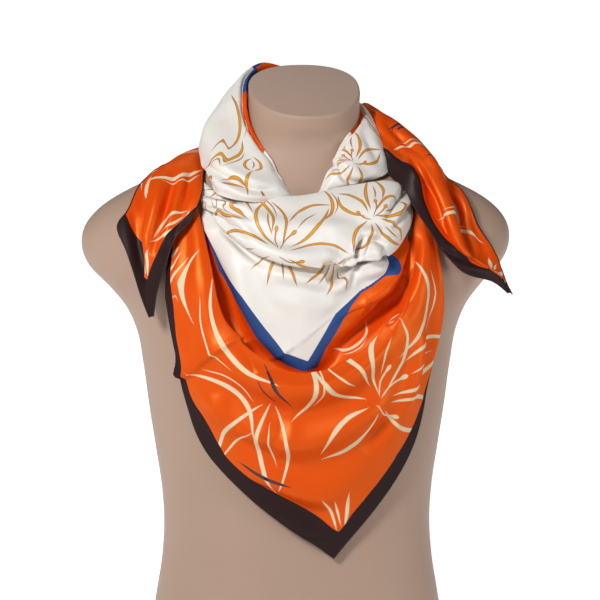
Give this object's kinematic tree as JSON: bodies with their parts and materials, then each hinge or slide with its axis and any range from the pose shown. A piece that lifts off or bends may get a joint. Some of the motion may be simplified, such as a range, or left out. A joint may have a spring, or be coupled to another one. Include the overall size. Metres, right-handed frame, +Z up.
{
  "type": "silk square scarf on a limbless dress form",
  "caption": "Printed silk square folded to a triangle and worn: pointed fall on the chest, soft cowl, wrap round the neck and loose ends over the shoulders of a smooth limbless dress form.",
  "frame": {"origin": "middle of the dress form's flat foot, on the surface it stands on", "axes": "+Z up, front of the form towards -Y, +X towards the form's left shoulder, which is on the right as seen from the front"},
  "size_m": [0.478, 0.2691, 0.7025],
  "materials": {
    "form_cover": "smooth matte warm taupe",
    "silk_centre": "satin silk, off-white with fine gold line flowers and a blue stripe",
    "silk_border": "satin silk, orange-red with cream line flowers, a blue stripe and a dark brown edge"
  },
  "bodies": {
    "root": {"dress_form": "form_cover", "cowl": "silk_centre", "inner_fall": "silk_centre", "front_fall": "silk_border", "collar_left": "silk_centre", "collar_right": "silk_centre", "back_wrap": "silk_border", "tail_left": "silk_border", "tail_right": "silk_border"}
  },
  "joints": []
}
